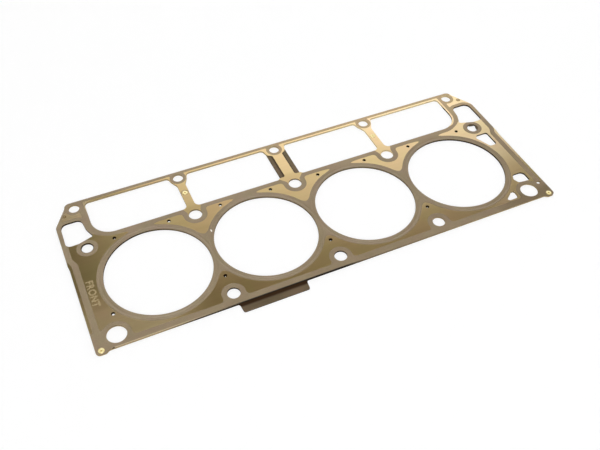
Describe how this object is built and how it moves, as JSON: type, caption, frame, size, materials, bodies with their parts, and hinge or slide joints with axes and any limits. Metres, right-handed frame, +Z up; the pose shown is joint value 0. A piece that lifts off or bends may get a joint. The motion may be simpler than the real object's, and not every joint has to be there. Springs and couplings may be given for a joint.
{
  "type": "cylinder head gasket",
  "caption": "Multi-layer steel cylinder head gasket for an in-line bank of cylinders, with embossed bore beads, bolt, dowel and coolant holes, valley windows and a spacer tab.",
  "frame": {"origin": "middle of the bore row, on the lower sealing face", "axes": "+X along the bore row towards the rear end, +Y towards the valley side with the windows, +Z up out of the upper sealing face"},
  "size_m": [0.4926, 0.2, 0.0019],
  "materials": {
    "bead_sheet": "satin",
    "spacer_steel": "satin",
    "rivet": "satin"
  },
  "bodies": {
    "root": {"upper_bead_layer": "bead_sheet", "spacer_layer": "spacer_steel", "lower_bead_layer": "bead_sheet", "front_corner_rivet": "rivet", "rear_corner_rivet": "rivet", "front_bar_rivet": "rivet", "rear_bar_rivet": "rivet"}
  },
  "joints": []
}
